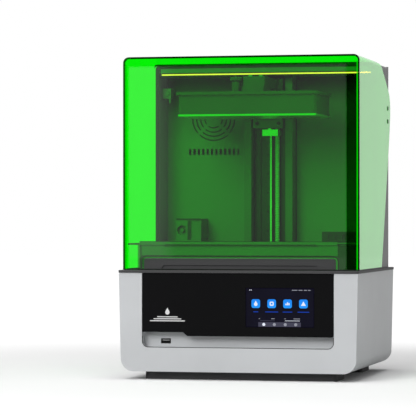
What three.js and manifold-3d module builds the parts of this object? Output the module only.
// Masked-LCD resin printer: base with a touchscreen, open-fronted tower with a lead-screw Z axis,
// removable vat, and a tinted cover hinged at the back of the tower.
// Millimetres. +X is to the right of somebody facing it, -Y is the front, +Z is up.
// The origin is on the table, under the middle of the bounding box.
import * as THREE from "three";
import { mergeVertices } from "three/addons/utils/BufferGeometryUtils.js";
import Module from "manifold-3d";

const wasm = await Module();
wasm.setup();

// ---- driving dimensions -------------------------------------------------------------------------
const gap = 0.3; // clearance between neighbouring pieces
const wall = 3; // moulded wall

const foot = { halfWidth: 157.5, depth: 73, height: 13, radius: 6, front: -157 };
const base = { halfWidth: 195.5, halfDepth: 178.5, bottom: foot.height + gap, top: 172, radius: 21,
  taper: 3 };
const trim = { halfWidth: 197, halfDepth: 180, bottom: 172.2, top: 176.2, radius: 6 };
const opening = { halfWidth: 157, bottom: 52, radius: 10, depth: 18 };
const panel = { halfWidth: 156.7, thickness: 2.6, highEdge: 77, lowEdge: 71, stepStart: -89, stepEnd: -82 };
const screen = { x: 69.6, z: 117.6, width: 110.7, height: 62.3, thickness: 6.5 };
const usb = { x: -121.6, z: 61.9, width: 14.6, height: 7.2, length: 18 };
const inlet = { x: 124, z: 46, width: 27, height: 20 };
const rocker = { x: 85, z: 46, width: 13, height: 19, tilt: 0.12, pivotY: 172.5 };

const riser = { halfWidth: 171.3, front: -150, back: 38.6, top: 216.5, radius: 9 };
const deck = { halfWidth: 188, front: -153, bottom: 216.8, top: 219.3 };
const lcd = { halfWidth: 121.5, front: -113, back: 31, top: 183.1, thickness: 2.8 };
const vat = { halfWidth: 140, front: -121, back: 34.4, bottom: 187.5, top: 219.6 };
const cavity = { halfWidth: 124, front: -114, back: 31.2 };
const ear = { x: 150, y: -40, halfLength: 15, reach: 20, bottom: 205.3, thickness: 3 };

const tower = { halfWidth: 190, front: 39, back: 157, top: 518.5, side: 6, corner: 6 };
const header = { bottom: 500, front: 41 };
const backWall = { front: 97, thickness: 2.5 };
const column = { halfWidth: 41.5, channel: 29.4, front: 65, floor: 94.2 };
const rail = { x: -1, width: 9, front: 76, back: 83.9, bottom: 160, top: 478 };
const screw = { x: 13.6, y: 76, radius: 4, bottom: 138, top: 496 };
const grille = { x: -102.2, z: 430, radii: [16.5, 24, 31, 38], slot: 2.2, spoke: 5 };
const vents = { left: -145.7, count: 12, pitch: 7.7, width: 4.1, bottom: 368.3, top: 378.6 };
const lightBar = { halfWidth: 179.5, bottom: 501.8, top: 504 };

const plate = { x: -1.6, halfWidth: 113.4, front: -100, back: 28, bottom: 430, top: 461, flange: 5,
  sheet: 3.4 };
const carriage = { left: -25.8, right: 25.2, front: 62.5, back: 68.7, bottom: 412, top: 495 };
const arm = { left: -19, right: 16.5, front: -45, bottom: 475.7, top: 494 };
const knob = { x: -31.5, y: -42, post: 7.1, cap: 10.5, capBottom: 487, top: 493 };

const cover = { halfWidth: 194.2, front: -157, bottom: 176.6, top: 521, sheet: 3, radius: 9.5 };
const notch = { left: -161, right: 156, top: 195.3, radius: 5 };
const hinge = { y: 126.6, z: 435, disc: 17, screwOffset: 11, screwRadius: 2, headRadius: 3.8 };

// ---- materials ----------------------------------------------------------------------------------
const finish = (color, roughness, metalness = 0, more = {}) =>
  new THREE.MeshStandardMaterial({ color, roughness, metalness, ...more });
const lightGrey = finish(0xc5c7c9, 0.5);
const darkGrey = finish(0x4b4b4b, 0.55);
const blackGloss = finish(0x191919, 0.15);
const screenGlass = finish(0x080618, 0.08);
const rubber = finish(0x343434, 0.9);
const steel = finish(0xb8babd, 0.35, 1);
const aluminium = finish(0xc9cbce, 0.4, 1);
const darkAluminium = finish(0x55585c, 0.45, 1);
const circuitGreen = finish(0x1e5a34, 0.6);
const opal = finish(0xf5f0c0, 0.4);
const film = finish(0xe8eef0, 0.1, 0, { transparent: true, opacity: 0.4 });
const tintedAcrylic = finish(0x24e030, 0.05, 0, { transparent: true, opacity: 0.45 });

// ---- solid modelling helpers --------------------------------------------------------------------
function toSolid(geometry) {
  const bare = geometry.clone();
  bare.deleteAttribute("normal");
  bare.deleteAttribute("uv");
  const merged = mergeVertices(bare, 1e-4);
  const vertProperties = new Float32Array(merged.attributes.position.array);
  const triVerts = new Uint32Array(merged.index.array);
  return new wasm.Manifold(new wasm.Mesh({ numProp: 3, vertProperties, triVerts }));
}

function toGeometry(solid) {
  const mesh = solid.getMesh();
  const geometry = new THREE.BufferGeometry();
  geometry.setAttribute("position", new THREE.BufferAttribute(new Float32Array(mesh.vertProperties), 3));
  geometry.setIndex(new THREE.BufferAttribute(new Uint32Array(mesh.triVerts), 1));
  return geometry;
}

const combine = (operation) => (first, ...others) =>
  toGeometry(others.reduce((solid, other) => solid[operation](toSolid(other)), toSolid(first)));
const cut = combine("subtract");
const join = combine("add");
const overlapOf = combine("intersect");

const box = (x0, x1, y0, y1, z0, z1) =>
  new THREE.BoxGeometry(x1 - x0, y1 - y0, z1 - z0).translate((x0 + x1) / 2, (y0 + y1) / 2, (z0 + z1) / 2);

// A rectangle with its own radius at each corner: lower left, lower right, upper right, upper left.
function roundedRect(a0, a1, b0, b1, radii) {
  const corners = [].concat(radii);
  const [lowLeft, lowRight, highRight, highLeft] = corners.length === 4 ? corners : Array(4).fill(radii);
  const shape = new THREE.Shape();
  shape.moveTo(a0 + lowLeft, b0);
  shape.lineTo(a1 - lowRight, b0);
  if (lowRight) shape.absarc(a1 - lowRight, b0 + lowRight, lowRight, -Math.PI / 2, 0);
  shape.lineTo(a1, b1 - highRight);
  if (highRight) shape.absarc(a1 - highRight, b1 - highRight, highRight, 0, Math.PI / 2);
  shape.lineTo(a0 + highLeft, b1);
  if (highLeft) shape.absarc(a0 + highLeft, b1 - highLeft, highLeft, Math.PI / 2, Math.PI);
  shape.lineTo(a0, b0 + lowLeft);
  if (lowLeft) shape.absarc(a0 + lowLeft, b0 + lowLeft, lowLeft, Math.PI, Math.PI * 1.5);
  return shape;
}

// The drawing plane and the direction of each kind of extrusion.
const axisX = new THREE.Vector3(1, 0, 0);
const axisY = new THREE.Vector3(0, 1, 0);
const axisZ = new THREE.Vector3(0, 0, 1);
const alongX = new THREE.Matrix4().makeBasis(axisY, axisZ, axisX);
const alongY = new THREE.Matrix4().makeBasis(axisX, axisZ, axisY.clone().negate());

const extrude = (shape, depth, curveSegments) =>
  new THREE.ExtrudeGeometry(shape, { depth, bevelEnabled: false, curveSegments });
const extrudeX = (shape, x0, x1, segments = 5) =>
  extrude(shape, x1 - x0, segments).applyMatrix4(alongX).translate(x0, 0, 0);
const extrudeY = (shape, y0, y1, segments = 5) =>
  extrude(shape, y1 - y0, segments).applyMatrix4(alongY).translate(0, y1, 0);
const extrudeZ = (shape, z0, z1, segments = 5) => extrude(shape, z1 - z0, segments).translate(0, 0, z0);

const circle = (a, b, radius) => new THREE.Shape().absarc(a, b, radius, 0, Math.PI * 2);
const rodX = (y, z, radius, x0, x1, segments = 8) => extrudeX(circle(y, z, radius), x0, x1, segments);
const rodY = (x, z, radius, y0, y1, segments = 8) => extrudeY(circle(x, z, radius), y0, y1, segments);
const rodZ = (x, y, radius, z0, z1, segments = 8) => extrudeZ(circle(x, y, radius), z0, z1, segments);

const repeat = (count, make) => Array.from({ length: count }, (_, index) => make(index));

const printer = new THREE.Group();
const add = (name, geometry, material) => {
  const mesh = new THREE.Mesh(geometry, material);
  mesh.name = name;
  printer.add(mesh);
};

// ---- base ---------------------------------------------------------------------------------------
function footBar(front) {
  const outline = roundedRect(-foot.halfWidth, foot.halfWidth, front, front + foot.depth, foot.radius);
  return extrudeZ(outline, 0, foot.height);
}

// The front outline of the base, a little narrower at the bottom than at the top.
function baseSection(inset, top) {
  const wide = base.halfWidth - inset;
  const narrow = wide - base.taper;
  const low = base.bottom + inset;
  const bend = base.radius - inset;
  const shape = new THREE.Shape();
  shape.moveTo(-narrow + bend, low);
  shape.lineTo(narrow - bend, low);
  shape.absarc(narrow - bend, low + bend, bend, -Math.PI / 2, 0);
  shape.lineTo(wide, base.top);
  shape.lineTo(wide, top);
  shape.lineTo(-wide, top);
  shape.lineTo(-wide, base.top);
  shape.lineTo(-narrow, low + bend);
  shape.absarc(-narrow + bend, low + bend, bend, Math.PI, Math.PI * 1.5);
  return shape;
}

// The base is one moulding, open at the top, with a collar round the front opening.
function baseShell() {
  const { halfDepth: d, bottom, top } = base;
  const outer = extrudeY(baseSection(0, top), -d, d);
  const inner = extrudeY(baseSection(wall, top + 9), -d + wall, d - wall);
  const { halfWidth: o, bottom: sill, radius: bend, depth } = opening;
  const collarOutline = roundedRect(-o - wall, o + wall, sill - wall, top, [bend + wall, bend + wall, 0, 0]);
  const collar = extrudeY(collarOutline, -d, -d + depth);
  const hole = extrudeY(roundedRect(-o, o, sill, top + 9, [bend, bend, 0, 0]), -d - 1, -d + depth + 1);
  const inletHole = box(inlet.x - inlet.width / 2 - gap, inlet.x + inlet.width / 2 + gap, d - wall - 1, d + 1,
    inlet.z - inlet.height / 2 - gap, inlet.z + inlet.height / 2 + gap);
  const switchHole = box(rocker.x - rocker.width / 2 - 1, rocker.x + rocker.width / 2 + 1, d - wall - 1, d + 1,
    rocker.z - rocker.height / 2 - 1, rocker.z + rocker.height / 2 + 1);
  const rearVents = repeat(9, (i) => box(-150 + i * 9, -145.5 + i * 9, d - wall - 1, d + 1, 60, 110));
  const floorVents = repeat(7, (i) => box(-40, 40, -68 + i * 9, -63.5 + i * 9, bottom - 1, bottom + wall + 1));
  return cut(join(cut(outer, inner), collar), hole, inletHole, switchHole, ...rearVents, ...floorVents);
}

function recessPanel() {
  const half = opening.halfWidth + wall - 0.5;
  const front = -base.halfDepth + opening.depth + gap;
  const sheet = box(-half, half, front, front + 2.5, opening.bottom - 2.5, base.top - 0.5);
  const port = box(usb.x - 8.25, usb.x + 8.25, front - 1, front + 4, usb.z - 4.3, usb.z + 4.3);
  return cut(sheet, port);
}

// The lower edge of the black panel steps down to the right of the USB port.
function panelOutline(inset) {
  const { halfWidth, highEdge, lowEdge, stepStart, stepEnd } = panel;
  const right = halfWidth - inset;
  const low = lowEdge + inset;
  const bend = 4.5;
  const shape = new THREE.Shape();
  shape.moveTo(-right, base.top - gap - inset);
  shape.lineTo(-right, highEdge + inset);
  shape.lineTo(stepStart + inset / 2, highEdge + inset);
  shape.lineTo(stepEnd + inset / 2, low);
  shape.lineTo(right - bend, low);
  shape.absarc(right - bend, low + bend, bend, -Math.PI / 2, 0);
  shape.lineTo(right, base.top - gap - inset);
  return shape;
}

const panelFront = -base.halfDepth + 0.2;

function frontPanel() {
  const back = -base.halfDepth + opening.depth - 1;
  const block = extrudeY(panelOutline(0), panelFront, back);
  const hollow = extrudeY(panelOutline(panel.thickness), panelFront + panel.thickness, back + 1);
  const { x, z, width, height } = screen;
  const window = box(x - width / 2 - gap, x + width / 2 + gap, panelFront - 1, back,
    z - height / 2 - gap, z + height / 2 + gap);
  return cut(block, hollow, window);
}

function touchscreen() {
  const { x, z, width, height, thickness } = screen;
  const glass = box(x - width / 2, x + width / 2, panelFront + 0.2, panelFront + thickness,
    z - height / 2, z + height / 2);
  const back = panelFront + thickness;
  const frame = box(x - width / 2 - 5, x + width / 2 + 5, back - 3, back,
    z - height / 2 - 5, z + height / 2 + 5);
  return join(glass, frame);
}

function usbPort() {
  const { x, z, width, height, length } = usb;
  const front = -base.halfDepth + opening.depth + gap;
  const shell = box(x - width / 2, x + width / 2, front, front + length, z - height / 2, z + height / 2);
  const socket = box(x - width / 2 + 1, x + width / 2 - 1, front - 1, front + 12,
    z - height / 2 + 1, z + height / 2 - 1);
  const tongue = box(x - 5.7, x + 5.7, front + 1.5, front + 13, z + 0.4, z + 2.2);
  return join(cut(shell, socket), tongue);
}

function powerInlet() {
  const { x, z, width, height } = inlet;
  const rear = base.halfDepth;
  const body = box(x - width / 2, x + width / 2, rear - 22, rear + gap, z - height / 2, z + height / 2);
  const flange = box(x - 17, x + 17, rear + gap, rear + 1.4, z - 13, z + 13);
  const socket = extrudeY(roundedRect(x - 12, x + 12, z - 8, z + 8, [1, 1, 5, 5]), rear - 17, rear + 5);
  const pins = [-7, 0, 7].map((offset) => box(x + offset - 1, x + offset + 1, rear - 18, rear - 4,
    z - 2 + (offset ? -1.5 : 3), z + 2 + (offset ? -1.5 : 3)));
  return join(cut(join(body, flange), socket), ...pins);
}

function switchBezel() {
  const { x, z, width, height } = rocker;
  const rear = base.halfDepth;
  const tube = box(x - width / 2 - 0.7, x + width / 2 + 0.7, rear - 16, rear + gap,
    z - height / 2 - 0.7, z + height / 2 + 0.7);
  const flange = box(x - width / 2 - 3, x + width / 2 + 3, rear + gap, rear + 1.2,
    z - height / 2 - 3, z + height / 2 + 3);
  const well = box(x - width / 2 + 0.7, x + width / 2 - 0.7, rear - 14, rear + 5,
    z - height / 2 + 0.7, z + height / 2 - 0.7);
  return cut(join(tube, flange), well);
}

// The rocker is a shallow V seen from the side. It rests tilted to its off position.
function switchRocker() {
  const { x, z, width, height, tilt } = rocker;
  const rear = base.halfDepth;
  const reach = height / 2 - 1.4;
  const rise = reach * Math.tan(tilt);
  const side = new THREE.Shape();
  side.moveTo(rear - 8, z - reach + 2);
  side.lineTo(rear - 0.6 - rise, z - reach);
  side.lineTo(rear - 0.6, z);
  side.lineTo(rear - 0.6 - rise, z + reach);
  side.lineTo(rear - 8, z + reach - 2);
  return extrudeX(side, x - width / 2 + 1.1, x + width / 2 - 1.1)
    .translate(0, -rocker.pivotY, -z).rotateX(-tilt).translate(0, rocker.pivotY, z);
}

// ---- electronics in the base --------------------------------------------------------------------
const floorTop = base.bottom + wall + 2.5;

function floorPlate() {
  const sheet = box(-173, 173, -156, 172, floorTop - 2, floorTop);
  return cut(sheet, rodZ(0, -36, 42, floorTop - 5, floorTop + 5, 16));
}

function mainboard() {
  const level = floorTop + 6.5;
  const board = box(-170, -22, 50, 150, level, level + 1.6);
  const posts = repeat(4, (i) => rodZ(i % 2 ? -165 : -27, i < 2 ? 55 : 145, 3, floorTop + gap, level + 0.5, 4));
  const parts = [
    box(-150, -120, 80, 110, level + 1, level + 10),
    box(-100, -60, 60, 84, level + 1, level + 14),
    box(-165, -152, 60, 140, level + 1, level + 9),
    box(-90, -40, 120, 140, level + 1, level + 12),
  ];
  return join(board, ...posts, ...parts);
}

const powerSupply = () => box(12, 172, 50, 140, floorTop + gap, floorTop + 38);

const engine = { halfWidth: 118, halfDepth: 66, y: -38, top: 171.8, base: 78 };

function lightBox() {
  const { halfWidth: w, halfDepth: d, y, top, base: low } = engine;
  const body = box(-w, w, y - d, y + d, low, top);
  const hollow = box(-w + 2, w - 2, y - d + 2, y + d - 2, low - 1, top + 1);
  return cut(body, hollow);
}

function ledArray() {
  const level = engine.base - gap;
  const board = box(-112, 112, engine.y - 60, engine.y + 60, level - 2, level);
  const lenses = repeat(32, (i) => {
    const x = -91 + (i % 8) * 26;
    const y = engine.y - 42 + Math.floor(i / 8) * 28;
    return rodZ(x, y, 7, level - 1, level + 4, 3);
  });
  return join(board, ...lenses);
}

function heatSink() {
  const top = engine.base - gap - 2 - gap;
  const slab = box(-112, 112, engine.y - 60, engine.y + 60, top - 6, top);
  const fins = repeat(15, (i) => box(-106 + i * 15, -103.5 + i * 15,
    engine.y - 60, engine.y + 60, 42, top - 5));
  return join(slab, ...fins);
}

// ---- deck, LCD and vat --------------------------------------------------------------------------
function trimPlate() {
  const { halfWidth: w, halfDepth: d, bottom, top, radius } = trim;
  const sheet = extrudeZ(roundedRect(-w, w, -d, d, radius), bottom, top);
  const lightHole = box(-112, 112, -102, 24, bottom - 1, top + 1);
  const axisHole = box(-column.channel, column.channel, 58, column.floor, bottom - 1, top + 1);
  return cut(sheet, lightHole, axisHole);
}

function lcdFrame() {
  const low = trim.top + gap;
  const ring = box(-134, 134, -119, 34, low, lcd.top - 0.2);
  const seat = lcd.top - lcd.thickness - gap;
  const pocket = box(-lcd.halfWidth - gap, lcd.halfWidth + gap, lcd.front - gap, lcd.back + gap, seat, lcd.top);
  return cut(ring, pocket, box(-114, 114, -102, 26, low - 1, lcd.top));
}

const lcdPanel = () => box(-lcd.halfWidth, lcd.halfWidth, lcd.front, lcd.back,
  lcd.top - lcd.thickness, lcd.top);

function deckRiser() {
  const { halfWidth: w, front, back, top, radius } = riser;
  const low = trim.top + gap;
  const outer = extrudeZ(roundedRect(-w, w, front, back, [radius, radius, 2, 2]), low, top);
  const inner = extrudeZ(roundedRect(-w + wall, w - wall, front + 5, back - wall, radius - wall),
    low - 1, top + 1);
  const grip = new THREE.Shape();
  grip.moveTo(-134, low - 1);
  grip.lineTo(127, low - 1);
  grip.lineTo(124, 184);
  grip.lineTo(-128, 184);
  const slot = box(-126, 126, front - 1, front + 1.5, 213, top + 1);
  return cut(outer, inner, extrudeY(grip, front - 1, front + 2), slot);
}

// A sleeve under each end of the vat's bar; the vat's screws go down into it.
function vatPost(side) {
  const low = trim.top + gap;
  const [x0, x1] = [side * (ear.x - 7), side * (ear.x + 7)].sort((a, b) => a - b);
  const block = box(x0, x1, ear.y - 7, ear.y + 7, low, ear.bottom - gap);
  return cut(block, rodZ(side * ear.x, ear.y, 3.2, 190, 210, 4));
}

function deckPlate() {
  const { halfWidth: w, front, bottom, top } = deck;
  const sheet = extrudeZ(roundedRect(-w, w, front, riser.back, 4), bottom, top);
  const vatHole = box(-vat.halfWidth - 1.5, vat.halfWidth + 1.5, vat.front - 1.5, vat.back + 1.5,
    bottom - 1, top + 1);
  const earHole = box(-161.5, 161.5, ear.y - ear.halfLength - 1.5, ear.y + ear.halfLength + 1.5,
    bottom - 1, top + 1);
  return cut(sheet, vatHole, earHole);
}

function vatFrame() {
  const { halfWidth: w, front, back, bottom, top } = vat;
  const body = extrudeZ(roundedRect(-w, w, front, back, 6), bottom, top);
  const inside = extrudeZ(roundedRect(-cavity.halfWidth, cavity.halfWidth, cavity.front, cavity.back, 1.5),
    bottom - 1, top + 1, 2);
  const ears = box(-ear.x - 10, ear.x + 10, ear.y - ear.halfLength, ear.y + ear.halfLength,
    ear.bottom, ear.bottom + ear.thickness);
  const holes = [-1, 1].map((side) => rodZ(side * ear.x, ear.y, 2.5, ear.bottom - 1, ear.bottom + 5, 4));
  return cut(join(body, ears), inside, ...holes);
}

const filmLevel = lcd.top + gap;

function filmFrame() {
  const ring = box(-vat.halfWidth + 1, vat.halfWidth - 1, vat.front + 1, vat.back - 1,
    filmLevel, vat.bottom - gap);
  return cut(ring, box(-cavity.halfWidth, cavity.halfWidth, cavity.front, cavity.back,
    filmLevel - 1, vat.bottom));
}

const releaseFilm = () => box(-cavity.halfWidth + gap, cavity.halfWidth - gap,
  cavity.front + gap, cavity.back - gap,
  filmLevel, filmLevel + 0.4);

function vatKnob(side) {
  const x = side * ear.x;
  const seat = ear.bottom + ear.thickness + gap;
  const head = rodZ(x, ear.y, 7.5, seat, seat + 7.5, 10);
  const ridge = box(x - 1.2, x + 1.2, ear.y - 6, ear.y + 6, seat + 7, seat + 9.5);
  return join(head, ridge, rodZ(x, ear.y, 2.1, ear.bottom - 8, seat + 1, 4));
}

// ---- tower --------------------------------------------------------------------------------------
const towerFoot = trim.top + gap;

// Side walls, roof and the hollow header that overhangs the build space; open at the back.
function towerShell() {
  const { halfWidth: w, front, back, top, side, corner } = tower;
  const outer = extrudeY(roundedRect(-w, w, towerFoot, top, [0, 0, corner, corner]), front, back);
  const bay = box(-w + side, w - side, front - 1, back + 1, towerFoot - 1, header.bottom);
  const roofSpace = box(-w + side, w - side, header.front + wall, back + 1, header.bottom + wall, top - wall);
  const step = box(-w + side, w - side, front - 1, header.front, header.bottom - 1, top - 5);
  const behind = box(-w + side, w - side, backWall.front - gap, back + 1,
    header.bottom - 1, header.bottom + wall + 1);
  const barGroove = box(-lightBar.halfWidth - gap, lightBar.halfWidth + gap,
    header.front - 1, header.front + 1.4,
    lightBar.bottom - gap, lightBar.top + gap);
  const pockets = [-1, 1].map((s) => {
    const [x0, x1] = [s * (w - side - 1), s * (w + 1)].sort((a, b) => a - b);
    return rodX(hinge.y, hinge.z, hinge.disc + 0.6, x0, x1, 12);
  });
  return cut(outer, bay, roofSpace, step, behind, barGroove, ...pockets);
}

const lightStrip = () => box(-lightBar.halfWidth, lightBar.halfWidth, header.front - 1, header.front + 1.1,
  lightBar.bottom, lightBar.top);

// Four rings of slots round the fan, left joined by two diagonal spokes.
function grilleCutters(y0, y1) {
  const { x, z, radii, slot, spoke } = grille;
  const spokes = [1, -1].map((turn) => box(-60, 60, y0 - 1, y1 + 1, -spoke / 2, spoke / 2)
    .rotateY((turn * Math.PI) / 4).translate(x, 0, z));
  return radii.map((radius) => {
    const ring = cut(rodY(x, z, radius, y0, y1, 16), rodY(x, z, radius - slot, y0 - 1, y1 + 1, 16));
    return cut(ring, ...spokes);
  });
}

function innerWall() {
  const { front, thickness } = backWall;
  const half = tower.halfWidth - tower.side - gap;
  const sheet = box(-half, half, front, front + thickness, towerFoot, header.bottom + wall - gap);
  const slits = repeat(vents.count, (i) => {
    const x = vents.left + i * vents.pitch;
    return box(x, x + vents.width, front - 1, front + thickness + 1, vents.bottom, vents.top);
  });
  return cut(sheet, ...grilleCutters(front - 1, front + thickness + 1), ...slits);
}

function columnCover() {
  const { halfWidth, channel, front, floor } = column;
  const block = box(-halfWidth, halfWidth, front, backWall.front - gap, towerFoot, header.bottom - gap);
  return cut(block, box(-channel, channel, front - 1, floor, towerFoot - 1, header.bottom + 1));
}

function zColumn() {
  const bar = box(-26, 26, rail.back + gap, column.floor - gap, 150, header.bottom - 2);
  const grooves = [-17, 14].map((x) => box(x, x + 3, rail.back, rail.back + 3.3, 149, header.bottom));
  return cut(bar, ...grooves);
}

function linearRail() {
  const half = rail.width / 2;
  const bar = box(rail.x - half, rail.x + half, rail.front, rail.back, rail.bottom, rail.top);
  const holes = repeat(10, (i) => rodY(rail.x, rail.bottom + 15 + i * 32, 2.4,
    rail.front - 1, rail.front + 3, 4));
  return cut(bar, ...holes);
}

const leadScrew = () => rodZ(screw.x, screw.y, screw.radius, screw.bottom, screw.top, 6);
const shaftCoupling = () => cut(rodZ(screw.x, screw.y, 9.5, 131, 149, 6),
  rodZ(screw.x, screw.y, screw.radius + gap, 136.5, 156, 6), rodZ(screw.x, screw.y, 2.8, 130, 137, 6));

function zMotor() {
  const body = box(screw.x - 21, screw.x + 21, screw.y - 21, screw.y + 21, 88, 128);
  return join(body, rodZ(screw.x, screw.y, 2.5, 127, 136, 4));
}

function upperBearing() {
  const block = box(screw.x - 8.5, screw.x + 8.5, 69.5, rail.back, 484, 494);
  return cut(block, rodZ(screw.x, screw.y, screw.radius + gap, 483, 495, 6));
}

function cameraModule() {
  const body = box(-tower.halfWidth + tower.side + gap, -169, 62, 78, 464, 481);
  return join(body, rodY(-176, 472.5, 4.5, 59, 63, 5));
}

function heaterHousing() {
  const front = 47;
  const body = box(-155.7, -112.5, front, backWall.front - gap, towerFoot, 259);
  const mouth = rodY(-146, 239.5, 8.5, front - 1, front + 8, 8);
  const window = box(-129.5, -114.5, front - 1, front + 1.5, 225, 256);
  return join(cut(body, mouth, window), rodY(-146, 239.5, 3, front + 1, front + 9, 5));
}

function airFilterBox() {
  const body = box(93, tower.halfWidth - tower.side - gap, 60, backWall.front - gap, towerFoot, 237);
  return cut(body, ...repeat(6, (i) => box(104 + i * 12, 111 + i * 12, 59, 62, 224, 232)));
}

const fan = { x: grille.x, z: grille.z, half: 40, front: 100.5, depth: 20 };

function fanFrame() {
  const { x, z, half, front, depth } = fan;
  const block = box(x - half, x + half, front, front + depth, z - half, z + half);
  const bore = rodY(x, z, half - 2, front - 1, front + depth - 2.5, 12);
  const strut = box(x - half + 1, x + half - 1, front + depth - 2.5, front + depth, z - 3, z + 3);
  const mouth = rodY(x, z, half - 2, front, front + depth + 1, 12);
  return join(cut(block, bore, mouth), strut);
}

function fanRotor() {
  const { x, z, half, front } = fan;
  const hub = rodY(x, z, 13, front + 2, front + 16, 8);
  const blades = repeat(7, (i) => box(8, half - 4, -0.8, 0.8, -7, 7).rotateX(0.7)
    .rotateY((i * Math.PI * 2) / 7).translate(x, front + 9, z));
  return join(hub, ...blades);
}

function towerBack() {
  const front = tower.back + gap;
  const sheet = box(-tower.halfWidth, tower.halfWidth, front, front + 2.2, towerFoot, tower.top);
  const slits = repeat(9, (i) => box(fan.x - 36, fan.x + 36, front - 1, front + 4,
    fan.z - 35 + i * 8, fan.z - 31.5 + i * 8));
  return cut(sheet, ...slits);
}

function hingeDamper(side) {
  const [x0, x1] = [side * 164, side * 183.6].sort((a, b) => a - b);
  return rodX(hinge.y, hinge.z, 15, x0, x1, 8);
}

// ---- carriage -----------------------------------------------------------------------------------
function linearBlock() {
  const body = box(rail.x - 10, rail.x + 9.5, carriage.back + gap, 81, carriage.bottom + gap, 470);
  const half = rail.width / 2 + 0.4;
  return cut(body, box(rail.x - half, rail.x + half, rail.front - 0.4, 90, 400, 480));
}

function nutBracket() {
  const low = 399;
  const top = 409.7;
  const front = box(-9.8, 17.1, carriage.front, rail.front - 0.5, low, top);
  const sleeve = rodZ(screw.x, screw.y, 6.6, low, top, 6);
  const stub = box(0, 5, carriage.front, carriage.back, top - 1, carriage.bottom - gap);
  return cut(join(front, sleeve, stub), rodZ(screw.x, screw.y, screw.radius + gap, low - 1, top + 1, 6));
}

function carriagePlate() {
  const { left, right, front, back, bottom, top } = carriage;
  return box(left, right, front, back, bottom, top);
}

// A flat arm on a foot that is bolted to the flange.
function plateArm() {
  const { left, right, front, bottom, top } = arm;
  const beam = box(left, right, front, carriage.front - gap, bottom, top);
  const footing = box(left, right, front - 8, 8, plate.top + plate.flange + gap * 2, bottom + 1);
  const rib = new THREE.Shape();
  rib.moveTo(32, bottom + 1);
  rib.lineTo(carriage.front - gap, bottom + 1);
  rib.lineTo(carriage.front - gap, 440);
  rib.lineTo(50, 440);
  return join(beam, footing, extrudeX(rib, left, right));
}

const plateSection = (margin, front, back, radius) =>
  roundedRect(plate.x - plate.halfWidth - margin, plate.x + plate.halfWidth + margin, front, back, radius);
const plateFlange = () => extrudeZ(plateSection(3.3, plate.front - 8, plate.back, 3),
  plate.top + gap, plate.top + gap + plate.flange, 2);
const buildPlate = () => extrudeZ(plateSection(0, plate.front, plate.back, 3), plate.bottom, plate.top, 2);
const buildSurface = () => extrudeZ(plateSection(1.4, plate.front - 1, plate.back + 0.5, 2),
  plate.bottom - plate.sheet, plate.bottom - gap, 2);

function lockKnob() {
  const { x, y, post, cap, capBottom, top } = knob;
  const stem = rodZ(x, y, post, plate.top + plate.flange + gap * 2, capBottom + 1, 6);
  const ridge = box(x - 1.5, x + 1.5, y - 8, y + 8, top - 1, top + 2);
  return join(stem, rodZ(x, y, cap, capBottom, top, 8), ridge);
}

// ---- cover --------------------------------------------------------------------------------------
const coverSection = (inset, low) => roundedRect(-cover.halfWidth + inset, cover.halfWidth - inset, low,
  cover.top - inset, [0, 0, cover.radius - inset, cover.radius - inset]);

// The outline of a side sheet: it narrows to the bottom and has a round shoulder at the hinge.
function coverSide() {
  const shape = new THREE.Shape();
  shape.moveTo(cover.front + cover.sheet + gap, cover.bottom);
  shape.lineTo(64, cover.bottom);
  shape.lineTo(140, 384.5);
  shape.lineTo(152, 425);
  shape.quadraticCurveTo(160, 462, 136, 474.5);
  shape.lineTo(57, 516);
  shape.quadraticCurveTo(44, 521, 24, cover.top);
  shape.lineTo(cover.front + cover.sheet + gap, cover.top);
  return shape;
}

function coverShell() {
  const outer = extrudeY(coverSection(0, cover.bottom), -170, 170);
  const inner = extrudeY(coverSection(cover.sheet, cover.bottom - 5), -171, 171);
  const inside = cover.halfWidth - cover.sheet;
  const behindRoof = box(-inside, inside, 36, 200, 500, 530);
  const side = extrudeX(coverSide(), -200, 200, 6);
  const screwHoles = [-1, 1].map((s) => rodX(
    hinge.y, hinge.z + s * hinge.screwOffset, hinge.screwRadius + gap,
    -200, 200, 5));
  return cut(overlapOf(cut(outer, inner), side), behindRoof, ...screwHoles);
}

function coverFront() {
  const sheet = extrudeY(coverSection(0, cover.bottom), cover.front, cover.front + cover.sheet);
  const { left, right, top, radius } = notch;
  const hand = roundedRect(left, right, cover.bottom - 5, top, [0, 0, radius, radius]);
  return cut(sheet, extrudeY(hand, cover.front - 1, cover.front + cover.sheet + 1));
}

const coverLip = () => box(notch.left - 4, notch.right + 4, cover.front + cover.sheet + gap, -151.4,
  196.2, 200.2);

// Each hinge disc carries the two screws that hold the cover to it.
function hingeDisc(side) {
  const span = (a, b) => [side * a, side * b].sort((first, second) => first - second);
  const disc = rodX(hinge.y, hinge.z, hinge.disc, ...span(184.3, cover.halfWidth - cover.sheet - gap), 12);
  const screws = [-1, 1].flatMap((s) => {
    const z = hinge.z + s * hinge.screwOffset;
    const headSpan = span(cover.halfWidth + 0.1, cover.halfWidth + 0.9);
    return [rodX(hinge.y, z, hinge.screwRadius, ...span(188, cover.halfWidth + 0.5), 5),
      rodX(hinge.y, z, hinge.headRadius, ...headSpan, 6)];
  });
  return join(disc, ...screws);
}

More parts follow.
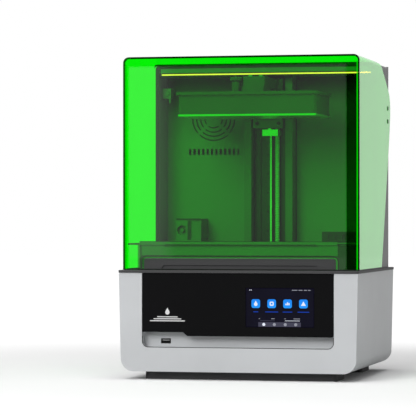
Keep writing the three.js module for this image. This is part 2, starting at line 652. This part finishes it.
// ---- assembly -----------------------------------------------------------------------------------
add("front_foot", footBar(foot.front), rubber);
add("rear_foot", footBar(-foot.front - foot.depth), rubber);
add("base_shell", baseShell(), lightGrey);
add("recess_panel", recessPanel(), lightGrey);
add("front_panel", frontPanel(), blackGloss);
add("touchscreen", touchscreen(), screenGlass);
add("usb_port", usbPort(), steel);
add("power_inlet", powerInlet(), rubber);
add("switch_bezel", switchBezel(), rubber);
add("switch_rocker", switchRocker(), blackGloss);
add("floor_plate", floorPlate(), steel);
add("mainboard", mainboard(), circuitGreen);
add("power_supply", powerSupply(), steel);
add("light_box", lightBox(), aluminium);
add("led_array", ledArray(), opal);
add("heat_sink", heatSink(), aluminium);
add("z_motor", zMotor(), darkGrey);
add("shaft_coupling", shaftCoupling(), aluminium);

add("trim_plate", trimPlate(), darkGrey);
add("lcd_frame", lcdFrame(), darkAluminium);
add("lcd_panel", lcdPanel(), screenGlass);
add("deck_riser", deckRiser(), darkGrey);
add("deck_plate", deckPlate(), darkGrey);
add("vat_post_left", vatPost(-1), darkGrey);
add("vat_post_right", vatPost(1), darkGrey);
add("vat_frame", vatFrame(), darkAluminium);
add("film_frame", filmFrame(), steel);
add("release_film", releaseFilm(), film);
add("vat_knob_left", vatKnob(-1), steel);
add("vat_knob_right", vatKnob(1), steel);

add("tower_shell", towerShell(), darkGrey);
add("tower_inner_wall", innerWall(), darkGrey);
add("tower_back", towerBack(), darkGrey);
add("column_cover", columnCover(), darkGrey);
add("light_bar", lightStrip(), opal);
add("z_column", zColumn(), darkAluminium);
add("linear_rail", linearRail(), steel);
add("lead_screw", leadScrew(), steel);
add("upper_bearing", upperBearing(), aluminium);
add("camera_module", cameraModule(), blackGloss);
add("heater_housing", heaterHousing(), darkGrey);
add("air_filter_box", airFilterBox(), darkGrey);
add("tower_fan_frame", fanFrame(), rubber);
add("tower_fan_rotor", fanRotor(), rubber);
add("hinge_damper_left", hingeDamper(-1), steel);
add("hinge_damper_right", hingeDamper(1), steel);

add("linear_block", linearBlock(), steel);
add("nut_bracket", nutBracket(), steel);
add("carriage_plate", carriagePlate(), darkAluminium);
add("plate_arm", plateArm(), darkAluminium);
add("plate_flange", plateFlange(), darkAluminium);
add("build_plate", buildPlate(), darkAluminium);
add("build_surface", buildSurface(), aluminium);
add("lock_knob", lockKnob(), darkAluminium);

add("cover_shell", coverShell(), tintedAcrylic);
add("cover_front", coverFront(), tintedAcrylic);
add("cover_lip", coverLip(), tintedAcrylic);
add("hinge_disc_left", hingeDisc(-1), steel);
add("hinge_disc_right", hingeDisc(1), steel);

export default printer;
